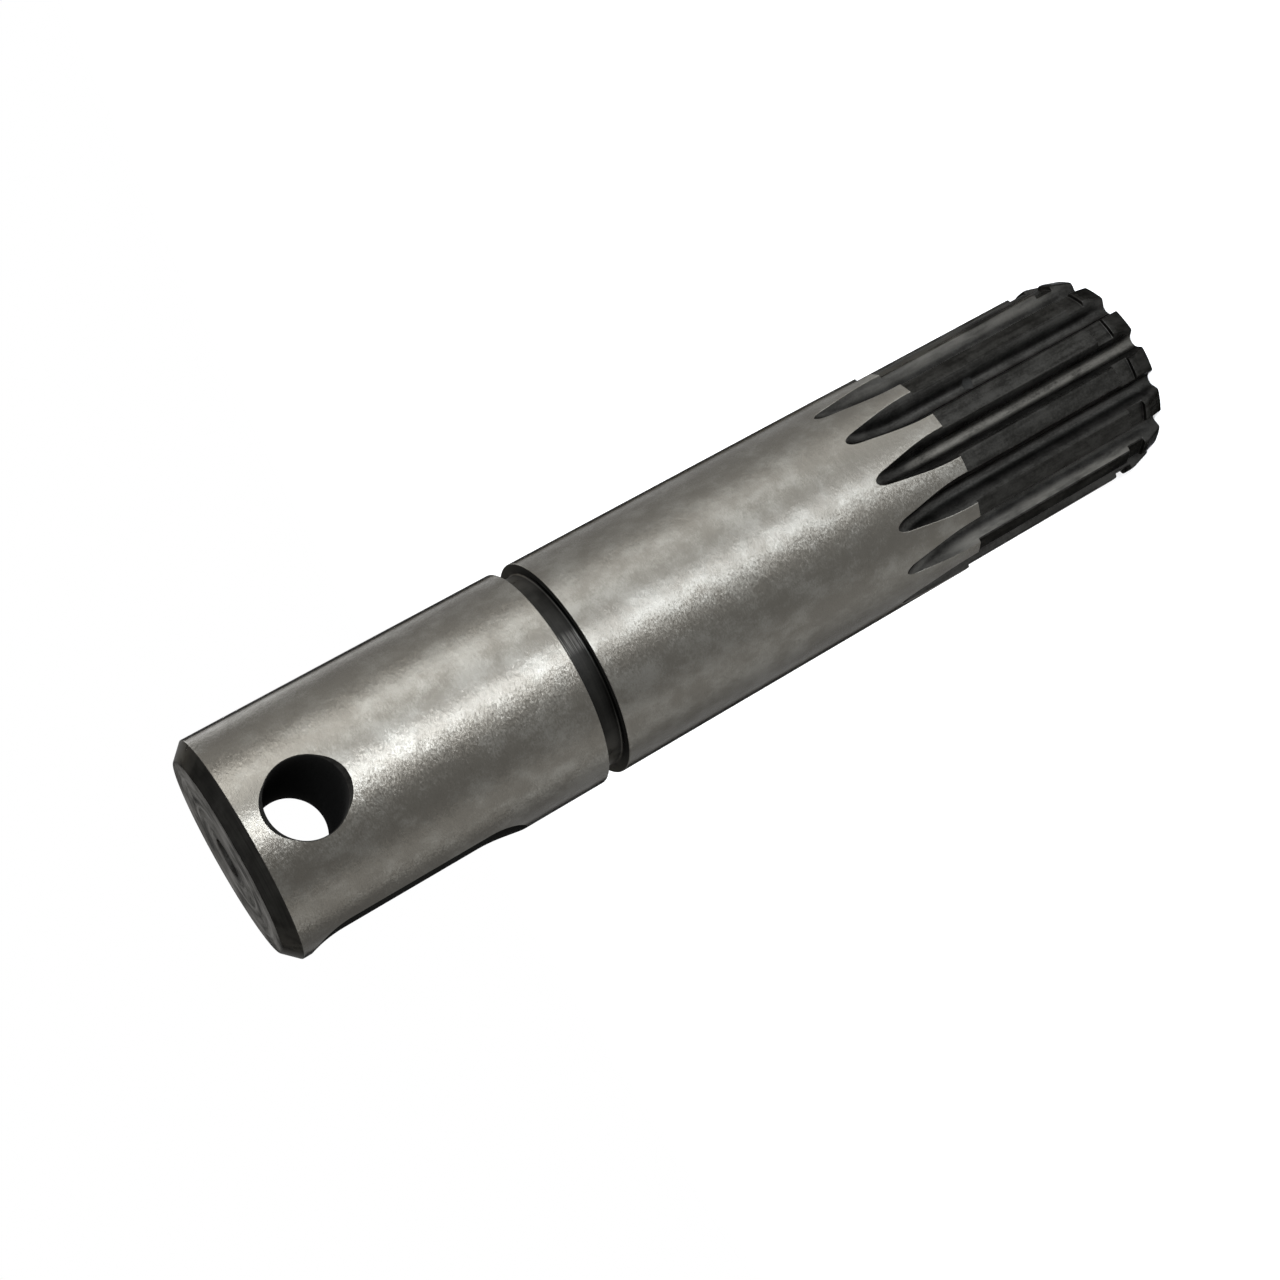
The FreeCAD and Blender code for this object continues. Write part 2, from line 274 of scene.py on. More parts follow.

# black skin on both, with its rubbed places and one painted root highlight: a side and the strength
# of each
blackSkin = {
    "wearAndPaintedLight": (0.0600, 0.0575, 0.0515, 1.0),
    "streaks": ((0.9, 0.9, 0.05), 4.0, 0.6, 4.0),
    "patches": ((0.35, 0.35, 0.25), 5.0, 0.65, 9.0),
    "grain": ((2.8, 2.8, 2.2), 3.0, 0.7, 2.0),
    "scuffs": ((0.45, 0.45, 0.09), 5.0, 0.62, 15.0),
    "toneShares": (0.40, 0.40, 0.34),
    "toneRange": (0.45, 0.69),
    "roughShare": 0.16,
    "paintedRootHighlight": ((-91.0, 3.6, 1.6), 0.8),
    "rootRadius": (16.6, 17.6),
    "rootHighlightRange": (0.35, 0.62),
    "wornTops": [((-29.0, 10.0, 3.0), 0.62)],
    "wornFlanks": [((-29.0, 13.0, 3.0), 0.52), ((-149.5, 4.0, 2.5), 0.95)],
    "scuffRange": (0.26, 0.66),
    "scuffRadius": (17.0, 18.8),
    "scuffStart": (3.0, 10.0),
    "scuffEnd": (42.0, 52.0),
    "scuffEndShare": 0.7,
}


def hardenedSteel(name, finish, wornSides):
    # black skin left by hardening, streaked along the teeth, rubbed lighter in places, one root
    # with a painted highlight
    material, tree = newMaterial(name)
    skin = blackSkin
    radius = cylinderRadius(tree)
    height = shaftHeight(tree)
    streaks = noiseNode(tree, *skin["streaks"])
    patches = noiseNode(tree, *skin["patches"])
    grain = noiseNode(tree, *skin["grain"])
    tone = weightedSum(tree, (streaks, patches, grain), skin["toneShares"])
    colour = mixColour(tree, rampNode(tree, tone, *skin["toneRange"]),
                       finish["dark"], finish["light"])
    # one root is painted lighter: a painted highlight where the front lamp's reflection runs along
    # it
    side, strength = skin["paintedRootHighlight"]
    root = product(tree, oneMinus(tree, rampNode(tree, radius, *skin["rootRadius"])),
                   sideMask(tree, *side), rampNode(tree, tone, *skin["rootHighlightRange"]), strength)
    colour = mixColour(tree, root, colour, skin["wearAndPaintedLight"])
    # scuffs keep off the roots, the splined end and most of the run-out
    scuffs = rampNode(tree, noiseNode(tree, *skin["scuffs"]), *skin["scuffRange"])
    runOut = product(tree, rampNode(tree, height, *skin["scuffEnd"]), skin["scuffEndShare"])
    spread = product(tree, scuffs, rampNode(tree, radius, *skin["scuffRadius"]),
                     rampNode(tree, height, *skin["scuffStart"]), oneMinus(tree, runOut))
    for side, strength in wornSides:
        wearAndPaintedLight = product(tree, sideMask(tree, *side), spread, strength)
        colour = mixColour(tree, wearAndPaintedLight, colour, skin["wearAndPaintedLight"])
    rough = weightedSum(tree, (patches,), (skin["roughShare"],), finish["rough"])
    finishShader(tree, colour, rough, mathNode(tree, "ADD", grain, streaks), finish)
    return material


ringFinish = {
    "metallic": 1.0,
    "edgeTint": (0.35, 0.35, 0.35, 1.0),
    "dark": (0.0100, 0.0097, 0.0090, 1.0),
    "light": (0.0180, 0.0175, 0.0160, 1.0),
    "wearAndPaintedLight": (0.0500, 0.0480, 0.0440, 1.0),
    "wall": (0.0420, 0.0405, 0.0370, 1.0),
    "paintedShade": (0.0008, 0.0008, 0.0007, 1.0),
    "rough": 0.34,
    "bumpStrength": 0.5,
    "bumpHeight": 0.012,
    "marks": ((0.10, 0.10, 6.0), 3.0, 0.6, 6.0),
    "patches": ((0.30, 0.30, 0.30), 4.0, 0.6, 14.0),
    "toneShares": (0.5, 0.5),
    "toneRange": (0.34, 0.66),
    "roughShare": 0.12,
    "grooveHeight": (124.0, 130.0),
    "floorRadius": (18.2, 18.6),
    "floorShade": 0.70,
    "floorHeight": (119.1, 121.0),
    "floorHeightShare": -0.15,
    "paintedHighlightSide": (-86.4, 4.5, 3.0),
    "paintedHighlightRange": (0.36, 0.60),
    "paintedHighlightShare": 0.42,
    "paintedDarkSide": (-96.0, 54.0, 22.0),
    "paintedLightRange": (0.15, 0.60),
    "wallRadius": (18.5, 19.0),
}


def turnedBlack():
    # ring groove and chamfer: turning marks run round, with painted light in patches towards the
    # two far sides
    finish = ringFinish
    material, tree = newMaterial("turnedBlack")
    height = shaftHeight(tree)
    radius = cylinderRadius(tree)
    marks = noiseNode(tree, *finish["marks"])
    patches = noiseNode(tree, *finish["patches"])
    tone = weightedSum(tree, (marks, patches), finish["toneShares"])
    colour = mixColour(tree, rampNode(tree, tone, *finish["toneRange"]),
                       finish["dark"], finish["light"])
    # the floor of the ring groove gets painted shade, most of all at its lower wall, and a painted
    # highlight in one place
    inGroove = oneMinus(tree, rampNode(tree, height, *finish["grooveHeight"]))
    onFloor = oneMinus(tree, rampNode(tree, radius, *finish["floorRadius"]))
    shade = weightedSum(tree, (rampNode(tree, height, *finish["floorHeight"]),),
                        (finish["floorHeightShare"],), finish["floorShade"])
    colour = mixColour(tree, product(tree, inGroove, onFloor, shade), colour, finish["paintedShade"])
    # painted highlight where the front lamp's reflection falls in the groove, broken by the turning
    # marks
    paintedHighlight = product(tree, sideMask(tree, *finish["paintedHighlightSide"]),
                     rampNode(tree, marks, *finish["paintedHighlightRange"]), inGroove, finish["paintedHighlightShare"])
    colour = mixColour(tree, paintedHighlight, colour, finish["wearAndPaintedLight"])
    # painted light: lighter in patches on the sides away from the front
    away = product(tree, oneMinus(tree, sideMask(tree, *finish["paintedDarkSide"])),
                   rampNode(tree, patches, *finish["paintedLightRange"]))
    colour = mixColour(tree, away, colour, finish["wearAndPaintedLight"])
    onWall = product(tree, inGroove, rampNode(tree, radius, *finish["wallRadius"]))
    colour = mixColour(tree, onWall, colour, finish["wall"])
    rough = weightedSum(tree, (patches,), (finish["roughShare"],), finish["rough"])
    finishShader(tree, colour, rough, marks, finish)
    return material


faceFinish = {
    "metallic": 1.0,
    "edgeDark": (0.20, 0.20, 0.19, 1.0),
    "edgeLight": (0.62, 0.61, 0.60, 1.0),
    "dark": (0.0120, 0.0116, 0.0106, 1.0),
    "light": (0.0780, 0.0752, 0.0698, 1.0),
    "rough": 0.40,
    "bumpStrength": 0.5,
    "bumpHeight": 0.015,
    "rings": {"Scale": 0.6, "Detail": 5.0, "Roughness": 0.6},
    "stains": ((0.13, 0.13, 0.13), 5.0, 0.62, 21.0),
    "toneShares": (0.50, 0.50),
    "toneRange": (0.36, 0.64),
    "roughShare": 0.1,
}


def facedSteel():
    # end faces: rings left by facing, with stains
    finish = faceFinish
    material, tree = newMaterial("facedSteel")
    ringPlace = addNode(tree, "ShaderNodeCombineXYZ")
    tree.links.new(cylinderRadius(tree), ringPlace.inputs["X"])
    ringNoise = addNode(tree, "ShaderNodeTexNoise", {"noise_dimensions": "3D"}, finish["rings"])
    tree.links.new(ringPlace.outputs[0], ringNoise.inputs["Vector"])
    rings = ringNoise.outputs["Fac"]
    stains = noiseNode(tree, *finish["stains"])
    tone = weightedSum(tree, (rings, stains), finish["toneShares"])
    share = rampNode(tree, tone, *finish["toneRange"])
    colour = mixColour(tree, share, finish["dark"], finish["light"])
    rough = weightedSum(tree, (stains,), (finish["roughShare"],), finish["rough"])
    shader = finishShader(tree, colour, rough, rings, finish)
    # seen almost edge on, the rings show only in the edge tint
    tree.links.new(mixColour(tree, share, finish["edgeDark"], finish["edgeLight"]),
                   shader.inputs["Specular Tint"])
    return material


shadeBlackFinish = {
    "metallic": 0.0,
    "edgeTint": (1.0, 1.0, 1.0, 1.0),
    "dark": (0.006, 0.006, 0.0058, 1.0),
    "light": (0.011, 0.0108, 0.0102, 1.0),
    "rough": 0.50,
    "bumpStrength": 0.4,
    "bumpHeight": 0.010,
    "marks": ((1.2, 1.2, 1.2), 3.0, 0.6, 17.0),
    "roughShare": 0.1,
}


def shadeBlackSteel():
    # dull black with no gloss, painted shade inside the cross hole and the centre holes, on the
    # keyway's walls and in the nick
    finish = shadeBlackFinish
    material, tree = newMaterial("shadeBlackSteel")
    marks = noiseNode(tree, *finish["marks"])
    colour = mixColour(tree, marks, finish["dark"], finish["light"])
    rough = weightedSum(tree, (marks,), (finish["roughShare"],), finish["rough"])
    shader = finishShader(tree, colour, rough, marks, finish)
    shader.inputs["Specular IOR Level"].default_value = 0.0
    return material


# places of the finishes in the list below
finishes = {"ground": 0, "tooth": 1, "groove": 2, "ring": 3, "face": 4, "bore": 5}
finishList = [
    groundSteel(),
    hardenedSteel("toothSteel", toothFinish, blackSkin["wornTops"]),
    hardenedSteel("grooveSteel", grooveFinish, blackSkin["wornFlanks"]),
    turnedBlack(),
    facedSteel(),
    shadeBlackSteel(),
]
print("finishes made:", len(finishList))


# The shaft: its turned outline, its tooth spaces and its cuts

shaft = {
    "length": 182.6,
    "bodyRadius": 20.0,
    "tipRadius": 19.5,
    "tipLength": 43.7,
    "rootRadius": 16.35,
    "pitchRadius": 18.2,
    "pressureAngle": 25.0,
    "spaceWidth": 3.5,
    "toothCount": 14,
    "firstSpaceAngle": 10.75,
    "fullDepthLength": 44.7,
    "cutterRadius": 35.0,
    "toothEdgeBreak": 0.24,
    "runOutEdgeBreak": 0.09,
    "wallLean": 0.03,
    "cornerShare": 0.45,
    "mouthShare": 0.3,
    "sectionReach": 6.0,
    "halvings": 50,
    "spaceColumns": 12,
    "edgeColumns": 3,
    "topColumns": 8,
    "runOutRows": 34,
    "evenRows": (61.2, 62.6, 64.6, 67.0, 92.0),
    "evenFrom": 67.0,
    "toothRows": (16.0, 26.0, 36.0),
    "roundSteps": (0.0, 0.33, 0.67, 1.0),
    "centreMouthRadius": 3.5,
    "centreMouthBreak": (0.12, 0.1),
    "centreConeAngle": 30.0,
    "centreShadeRadius": 2.9,
    "centrePilotRadius": 1.6,
    "centrePilotDepth": 7.0,
    "centrePilotTip": 0.9,
    "centreColumns": 5,
}

# distances below which points are joined and slivers are dissolved, at each stage
joining = {
    "slice": (0.0004, 0.0002),
    "repeat": 0.0006,
    "whole": (0.0008, 0.0005),
}

# turned outline from the splined end up: height, radius, edge break, finish above the corner
turnedOutline = [
    (0.00, 18.50, 0.14, "tooth"),
    (3.60, 19.50, 0.35, "tooth"),
    (4.40, 19.50, 0.10, "tooth"),
    (4.40, 18.75, 0.12, "tooth"),
    (8.05, 18.75, 0.12, "tooth"),
    (8.05, 19.50, 0.10, "tooth"),
    (43.70, 19.50, 0.06, "ground"),
    (43.70, 20.00, 0.10, "ground"),
    (118.70, 20.00, 0.16, "ring"),
    (118.70, 18.00, 0.35, "ring"),
    (122.60, 18.00, 0.35, "ring"),
    (122.60, 20.00, 0.16, "ground"),
    (180.10, 20.00, 0.14, "ring"),
    (182.60, 17.50, 0.16, "face"),
]


def turnedRows():
    # each corner becomes a short round, each upright wall leans by a hair
    lean = shaft["wallLean"]
    corners = [list(corner) for corner in turnedOutline]
    for first, second in zip(corners, corners[1:]):
        if first[0] == second[0]:
            first[0] -= lean
            second[0] += lean
    rows = []
    for index, (height, radius, edge, finish) in enumerate(corners):
        here = np.array([height, radius])
        before = np.array(corners[index - 1][:2]) if index > 0 else np.array([0.0, 0.0])
        last = index == len(corners) - 1
        after = np.array([height, 0.0]) if last else np.array(corners[index + 1][:2])
        below = corners[index - 1][3] if index > 0 else "face"
        toBefore = (before - here) / np.linalg.norm(before - here)
        toAfter = (after - here) / np.linalg.norm(after - here)
        share = shaft["cornerShare"]
        start = here + toBefore * min(edge, share * np.linalg.norm(before - here))
        end = here + toAfter * min(edge, share * np.linalg.norm(after - here))
        for step in shaft["roundSteps"]:
            place = start * (1 - step) ** 2 + here * 2 * step * (1 - step) + end * step ** 2
            rows.append([place[0], place[1], below if step < 0.5 else finish])
    return rows


def spaceGeometry():
    # half a tooth space: a round root, then a flank that is an arc
    pitch = shaft["pitchRadius"]
    tilt = math.radians(shaft["pressureAngle"])
    base = pitch * math.cos(tilt)
    flank = pitch * math.sin(tilt)
    turn = shaft["spaceWidth"] / (2 * pitch) + tilt
    centre = (base * math.cos(turn), base * math.sin(turn))
    rise = shaft["rootRadius"] - centre[0]
    fillet = (rise ** 2 + centre[1] ** 2 - flank ** 2) / (2 * (flank - rise))
    rootCentre = shaft["rootRadius"] + fillet
    start = math.atan2(-centre[1], rootCentre - centre[0])
    return {"flank": flank, "centre": centre, "fillet": fillet, "rootCentre": rootCentre,
            "start": start, "rootArc": fillet * -start}


space = spaceGeometry()


def spaceLine(along, height):
    # point of half a space section, along its curve from the middle of the root
    bend = np.minimum(along, space["rootArc"]) / space["fillet"]
    inRoot = along <= space["rootArc"]
    angle = space["start"] + (along - space["rootArc"]) / space["flank"]
    x = np.where(inRoot, space["rootCentre"] - space["fillet"] * np.cos(bend),
                 space["centre"][0] + space["flank"] * np.cos(angle))
    y = np.where(inRoot, space["fillet"] * np.sin(bend),
                 space["centre"][1] + space["flank"] * np.sin(angle))
    above = max(height - shaft["fullDepthLength"], 0.0)
    axis = shaft["rootRadius"] + shaft["cutterRadius"]
    x = axis - np.sqrt(np.maximum((axis - x) ** 2 - above ** 2, 0.0))
    return x, y


def runOutEnd():
    # height at which the cutter leaves the ground body
    axis = shaft["rootRadius"] + shaft["cutterRadius"]
    reach = shaft["cutterRadius"] ** 2 - (axis - shaft["bodyRadius"]) ** 2
    return shaft["fullDepthLength"] + math.sqrt(reach)


def mouthAlong(height, radius):
    # how far along the section curve the space meets the outside, found by halving
    if height >= runOutEnd():
        return 0.0
    low, high = 0.0, shaft["sectionReach"]
    for halving in range(shaft["halvings"]):
        middle = (low + high) / 2
        x, y = spaceLine(np.array([middle]), height)
        if math.hypot(x[0], y[0]) < radius:
            low = middle
        else:
            high = middle
    return low


def slicePoints(height, radius, even):
    # one row of points, from the middle of one tooth space to the middle of the next
    pitch = 2 * math.pi / shaft["toothCount"]
    mouth = mouthAlong(height, radius)
    edge = shaft["runOutEdgeBreak" if height > shaft["tipLength"] else "toothEdgeBreak"]
    edge = min(edge, shaft["mouthShare"] * mouth)
    x, y = spaceLine(np.linspace(0.0, mouth - edge, shaft["spaceColumns"] + 1), height)
    cornerX, cornerY = spaceLine(np.array([mouth]), height)
    corner = np.array([cornerX[0], cornerY[0]])
    if mouth <= 0.0:
        x[:] = radius
        y[:] = 0.0
        corner = np.array([radius, 0.0])
    topStart = math.atan2(corner[1], corner[0]) + edge / radius
    points = list(zip(x, y))
    start = np.array(points[-1])
    end = np.array([radius * math.cos(topStart), radius * math.sin(topStart)])
    for step in np.linspace(0, 1, shaft["edgeColumns"] + 1)[1:]:
        place = start * (1 - step) ** 2 + corner * 2 * step * (1 - step) + end * step ** 2
        points.append(tuple(place))
    for angle in np.linspace(topStart, pitch / 2, shaft["topColumns"] // 2 + 1)[1:]:
        points.append((radius * math.cos(angle), radius * math.sin(angle)))
    # above the run-out the points move to even angles
    points = np.array(points)
    out = np.hypot(points[:, 0], points[:, 1])
    angle = np.arctan2(points[:, 1], points[:, 0])
    angle = angle * (1 - even) + np.linspace(0, pitch / 2, len(angle)) * even
    wholeAngle = np.concatenate([angle, pitch - angle[-2::-1]])
    wholeOut = np.concatenate([out, out[-2::-1]])
    return np.stack([wholeOut * np.cos(wholeAngle), wholeOut * np.sin(wholeAngle),
                     np.full(len(wholeOut), height)], 1)


def columnKinds():
    # the faces of one pitch: cut surface, broken edge or outside surface
    half = ["cut"] * shaft["spaceColumns"] + ["edge"] * shaft["edgeColumns"]
    half += ["top"] * (shaft["topColumns"] // 2)
    return half + half[::-1]


def faceFinishOf(kind, height, finish):
    # the cut surface is black, its broken edges are bright where they cross the ground body
    if height > runOutEnd() - 1e-6:
        return finish
    if kind == "cut":
        return "groove"
    if kind == "edge" and height > shaft["fullDepthLength"]:
        return "ground"
    return finish


def sliceRows():
    # heights of the rows, closer together towards the tip of the run-out
    rows = turnedRows()
    low = shaft["fullDepthLength"]
    for step in np.linspace(0, 1, shaft["runOutRows"]):
        height = low + (runOutEnd() - low) * math.sin(step * math.pi / 2)
        rows.append([height, shaft["bodyRadius"], "ground"])
    for height in shaft["evenRows"]:
        rows.append([height, shaft["bodyRadius"], "ground"])
    for height in shaft["toothRows"]:
        rows.append([height, shaft["tipRadius"], "tooth"])
    return sorted(rows, key=lambda row: row[0])


def addFace(mesh, corners, finish):
    mesh.faces.new(corners)[mesh.faces.layers.int["finish"]] = finishes[finish]


def buildSlice():
    # one pitch of the shaft, from the middle of one tooth space to the middle of the next
    rows = sliceRows()
    kinds = columnKinds()
    evenStart, evenEnd = runOutEnd(), shaft["evenFrom"]
    mesh = bmesh.new()
    mesh.faces.layers.int.new("finish")
    lines = []
    for height, radius, finish in rows:
        even = min(max((height - evenStart) / (evenEnd - evenStart), 0.0), 1.0)
        lines.append([mesh.verts.new(point) for point in slicePoints(height, radius, even)])
    for index, (lower, upper) in enumerate(zip(lines, lines[1:])):
        for column, kind in enumerate(kinds):
            corners = (lower[column], lower[column + 1], upper[column + 1], upper[column])
            addFace(mesh, corners, faceFinishOf(kind, rows[index][0], rows[index][2]))
    closeSlice(mesh, lines[0], 0.0, -1)
    closeSlice(mesh, lines[-1], shaft["length"], 1)
    join, sliver = joining["slice"]
    bmesh.ops.remove_doubles(mesh, verts=mesh.verts, dist=join)
    bmesh.ops.dissolve_degenerate(mesh, edges=mesh.edges, dist=sliver)
    return mesh


def closeSlice(mesh, outer, height, side):
    # the slice's share of an end face and of its centre hole, side is 1 at the top
    pitch = 2 * math.pi / shaft["toothCount"]
    columns = shaft["centreColumns"]
    mouth = shaft["centreMouthRadius"]
    breakWidth, breakDepth = shaft["centreMouthBreak"]
    pilot = shaft["centrePilotRadius"]
    pilotDepth = shaft["centrePilotDepth"]
    coneDepth = (mouth - pilot) / math.tan(math.radians(shaft["centreConeAngle"]))
    shade = shaft["centreShadeRadius"]
    shadeDepth = coneDepth * (mouth - shade) / (mouth - pilot)
    outline = [(mouth + breakWidth, 0.0), (mouth, breakDepth), (shade, shadeDepth),
               (pilot, coneDepth), (pilot, pilotDepth)]
    angles = [pitch * step / columns for step in range(columns + 1)]
    lines = []
    for radius, depth in outline:
        z = height - side * depth
        lines.append([mesh.verts.new((radius * math.cos(angle), radius * math.sin(angle), z))
                      for angle in angles])
    pole = mesh.verts.new((0.0, 0.0, height - side * (pilotDepth + shaft["centrePilotTip"])))
    # the cone takes the black skin and the pilot the dull black: painted shade inside the centre
    # hole
    for wider, deeper, finish in zip(lines, lines[1:], ("face", "groove", "groove", "bore")):
        for step in range(columns):
            corners = [wider[step], wider[step + 1], deeper[step + 1], deeper[step]]
            addFace(mesh, corners if side > 0 else corners[::-1], finish)
    for step in range(columns):
        corners = [lines[-1][step], lines[-1][step + 1], pole]
        addFace(mesh, corners if side > 0 else corners[::-1], "bore")
    loops = [mesh.edges.get(pair) for line in (outer, lines[0]) for pair in zip(line, line[1:])]
    loops += [mesh.edges.new((outer[end], lines[0][end])) for end in (0, -1)]
    filled = bmesh.ops.triangle_fill(mesh, edges=loops, use_beauty=True, use_dissolve=False)
    for face in filled["geom"]:
        if isinstance(face, bmesh.types.BMFace):
            face.normal_update()
            if face.normal.z * side < 0:
                face.normal_flip()
            face[mesh.faces.layers.int["finish"]] = finishes["face"]


# The shaft follows one rule: the slice is repeated round the axis, once for each tooth.

def repeatTree():
    tree = bpy.data.node_groups.new("repeatSlice", "GeometryNodeTree")
    for name, way, kind in (("Slice", "INPUT", "NodeSocketGeometry"),
                            ("Tooth Count", "INPUT", "NodeSocketInt"),
                            ("First Space Angle", "INPUT", "NodeSocketFloat"),
                            ("Shaft", "OUTPUT", "NodeSocketGeometry")):
        tree.interface.new_socket(name=name, in_out=way, socket_type=kind)
    entry = tree.nodes.new("NodeGroupInput")
    points = tree.nodes.new("GeometryNodePoints")
    tree.links.new(entry.outputs["Tooth Count"], points.inputs["Count"])
    index = tree.nodes.new("GeometryNodeInputIndex")
    share = mathNode(tree, "DIVIDE", index.outputs[0], entry.outputs["Tooth Count"])
    turn = mathNode(tree, "ADD", mathNode(tree, "MULTIPLY", share, 2 * math.pi),
                    entry.outputs["First Space Angle"])
    angles = tree.nodes.new("ShaderNodeCombineXYZ")
    tree.links.new(turn, angles.inputs["Z"])
    rotation = tree.nodes.new("FunctionNodeEulerToRotation")
    tree.links.new(angles.outputs[0], rotation.inputs[0])
    copies = tree.nodes.new("GeometryNodeInstanceOnPoints")
    tree.links.new(points.outputs[0], copies.inputs["Points"])
    tree.links.new(entry.outputs["Slice"], copies.inputs["Instance"])
    tree.links.new(rotation.outputs[0], copies.inputs["Rotation"])
    solid = tree.nodes.new("GeometryNodeRealizeInstances")
    tree.links.new(copies.outputs[0], solid.inputs[0])
    shape = solid.outputs[0]
    # each face gets the material that its finish number names
    number = addNode(tree, "GeometryNodeInputNamedAttribute", {"data_type": "INT"},
                     {"Name": "finish"})
    for place, finish in enumerate(finishList):
        same = addNode(tree, "FunctionNodeCompare", {"data_type": "INT", "operation": "EQUAL"})
        integers = [socket for socket in same.inputs if socket.type == "INT"]
        tree.links.new(number.outputs["Attribute"], integers[0])
        integers[1].default_value = place
        paint = addNode(tree, "GeometryNodeSetMaterial", None, {"Material": finish})
        tree.links.new(shape, paint.inputs["Geometry"])
        tree.links.new(same.outputs[0], paint.inputs["Selection"])
        shape = paint.outputs[0]
    leave = tree.nodes.new("NodeGroupOutput")
    tree.links.new(shape, leave.inputs["Shaft"])
    return tree


def applyChange(piece, change):
    # turns the piece with its modifier into a plain mesh
    bpy.context.view_layer.update()
    evaluated = piece.evaluated_get(bpy.context.evaluated_depsgraph_get())
    result = bpy.data.meshes.new_from_object(evaluated)
    piece.modifiers.remove(change)
    piece.data = result


def repeatSlice(piece):
    change = piece.modifiers.new("repeat", "NODES")
    change.node_group = repeatTree()
    sizes = {"Tooth Count": shaft["toothCount"],
             "First Space Angle": math.radians(shaft["firstSpaceAngle"])}
    for item in change.node_group.interface.items_tree:
        if item.name in sizes:
            change[item.identifier] = sizes[item.name]
    applyChange(piece, change)
    mesh = bmesh.new()
    mesh.from_mesh(piece.data)
    bmesh.ops.remove_doubles(mesh, verts=mesh.verts, dist=joining["repeat"])
    mesh.to_mesh(piece.data)
    mesh.free()


def meshObject(name, mesh):
    data = bpy.data.meshes.new(name)
    mesh.to_mesh(data)
    mesh.free()
    piece = bpy.data.objects.new(name, data)
    bpy.context.collection.objects.link(piece)
    for finish in finishList:
        data.materials.append(finish)
    return piece


def closedLoops(loops, bands):
    # closed cutter from loops of equal length, with a finish for each band between two of them
    mesh = bmesh.new()
    rings = [[mesh.verts.new(point) for point in loop] for loop in loops]
    count = len(rings[0])
    for lower, upper, finish in zip(rings, rings[1:], bands):
        for step in range(count):
            following = (step + 1) % count
            face = mesh.faces.new((lower[step], lower[following], upper[following], upper[step]))
            face.material_index = finishes[finish]
    for cap, finish in ((rings[0][::-1], bands[0]), (rings[-1], bands[-1])):
        mesh.faces.new(cap).material_index = finishes[finish]
    bmesh.ops.recalc_face_normals(mesh, faces=mesh.faces)
    return mesh


crossHole = {
    "radius": 6.6,
    "drop": 12.75,
    "sinkDepth": 0.8,
    "edgeBreak": 0.22,
    "overshoot": 0.3,
    "reach": 2.0,
    "columns": 128,
    # the inside of the hole takes the dull black, painted shade
    "bands": ["groove", "groove", "bore", "groove", "groove"],
}


def crossHoleLoops():
    # straight bore, countersunk where it meets the cylinder on either side
    body = shaft["bodyRadius"]
    height = shaft["length"] - crossHole["drop"]
    loops = []
    stages = ((-1, "outside"), (-1, "surface"), (-1, "shoulder"),
              (1, "shoulder"), (1, "surface"), (1, "outside"))
    for side, stage in stages:
        loop = []
        for step in range(crossHole["columns"]):
            angle = step * 2 * math.pi / crossHole["columns"]
            skin = math.sqrt(body ** 2 - (crossHole["radius"] * math.cos(angle)) ** 2)
            over = skin + crossHole["overshoot"]
            shoulder = min(body - crossHole["sinkDepth"], skin - crossHole["edgeBreak"])
            depth = {"outside": body + crossHole["reach"], "surface": over,
                     "shoulder": shoulder}[stage]
            radius = crossHole["radius"] + max(min(depth, over) - shoulder, 0.0)
            loop.append((radius * math.cos(angle), side * depth,
                         height + radius * math.sin(angle)))
        loops.append(loop)
    return loops


keyway = {
    "halfWidth": 7.25,
    "halfStraight": 12.9,
    "drop": 24.25,
    "depth": 5.5,
    "floorRound": ((-0.40, 0.0), (-0.12, 0.12), (0.0, 0.40)),
    "edgeBreak": 0.12,
    "overshoot": 0.3,
    "reach": 2.0,
    "columns": 24,
    # the walls and their broken edges take the dull black, painted shade
    "bands": ["groove", "groove", "bore", "bore", "bore"],
}


def keywayOutline(grow):
    # slot with round ends, wider by grow all round
    middle = shaft["length"] - keyway["drop"]
    radius = keyway["halfWidth"] + grow
    points = []
    for side in (1, -1):
        for step in range(keyway["columns"] + 1):
            angle = math.pi * step / keyway["columns"] + (0 if side > 0 else math.pi)
            points.append((radius * math.cos(angle),
                           middle + side * keyway["halfStraight"] + radius * math.sin(angle)))
    return points


def keywayLoops():
    # floor round, wall, broken edge that follows the cylinder, then straight out
    body = shaft["bodyRadius"]
    floor = body - keyway["depth"]
    edge = keyway["edgeBreak"]
    over = keyway["overshoot"]
    loops = []
    for grow, rise in keyway["floorRound"]:
        loops.append([(-floor - rise, y, z) for y, z in keywayOutline(grow)])
    shoulder, surface, outside = [], [], []
    for (y, z), (wideY, wideZ) in zip(keywayOutline(0.0), keywayOutline(edge + over)):
        skin = math.sqrt(body ** 2 - y ** 2)
        shoulder.append((edge - skin, y, z))
        surface.append((-over - skin, wideY, wideZ))
        outside.append((-body - keyway["reach"], wideY, wideZ))
    return loops + [shoulder, surface, outside]


# small bite out of the side of one tooth: which space, how far along its section curve and how
# high, then the cutter's size, its lift off the flank, its stretch up the shaft and its wobble
nick = {
    "space": 11,
    "along": 0.98,
    "height": 32.3,
    "radius": 1.15,
    "roundness": 3,
    "lift": 0.58,
    "stretch": 1.1,
    "wobble": 0.12,
    "wobbleTurns": 4.0,
}


